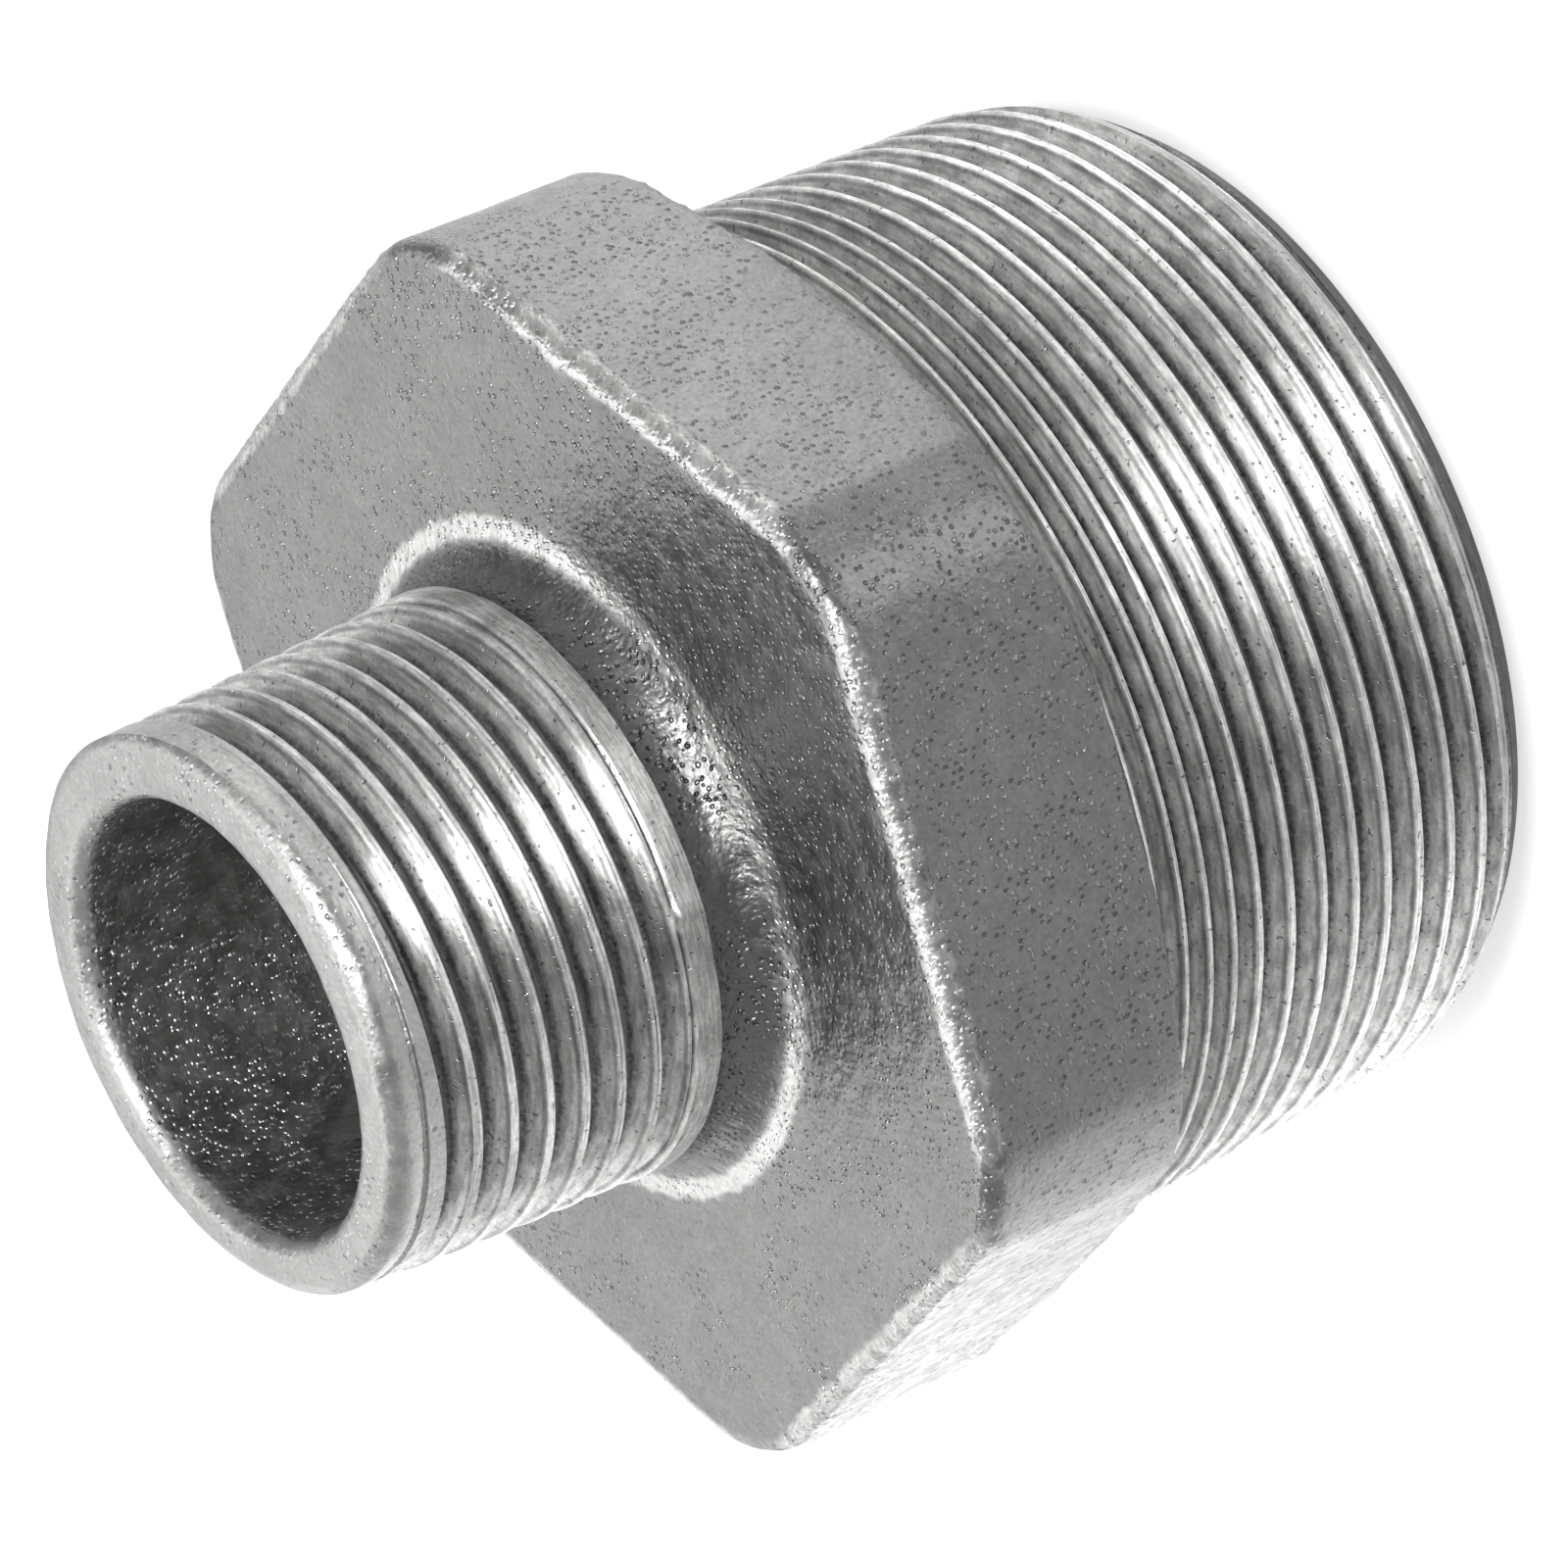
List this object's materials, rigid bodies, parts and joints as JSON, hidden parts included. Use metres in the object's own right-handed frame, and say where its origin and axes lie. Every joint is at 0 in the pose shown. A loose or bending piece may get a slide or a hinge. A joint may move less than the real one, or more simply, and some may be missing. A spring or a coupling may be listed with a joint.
{
  "type": "hex reducing nipple",
  "caption": "Metal pipe reducing nipple with a spanner hexagon between a large and a small male taper thread and a stepped bore right through.",
  "frame": {"origin": "centre of the large end's face, on the pipe axis", "axes": "+Z along the pipe axis towards the small end, +X through a corner of the hexagon"},
  "size_m": [0.0712, 0.064, 0.068],
  "materials": {
    "cast_steel": "bright pickled cast steel with machined threads, semi-gloss"
  },
  "bodies": {
    "root": {"nipple_body": "cast_steel"}
  },
  "joints": []
}
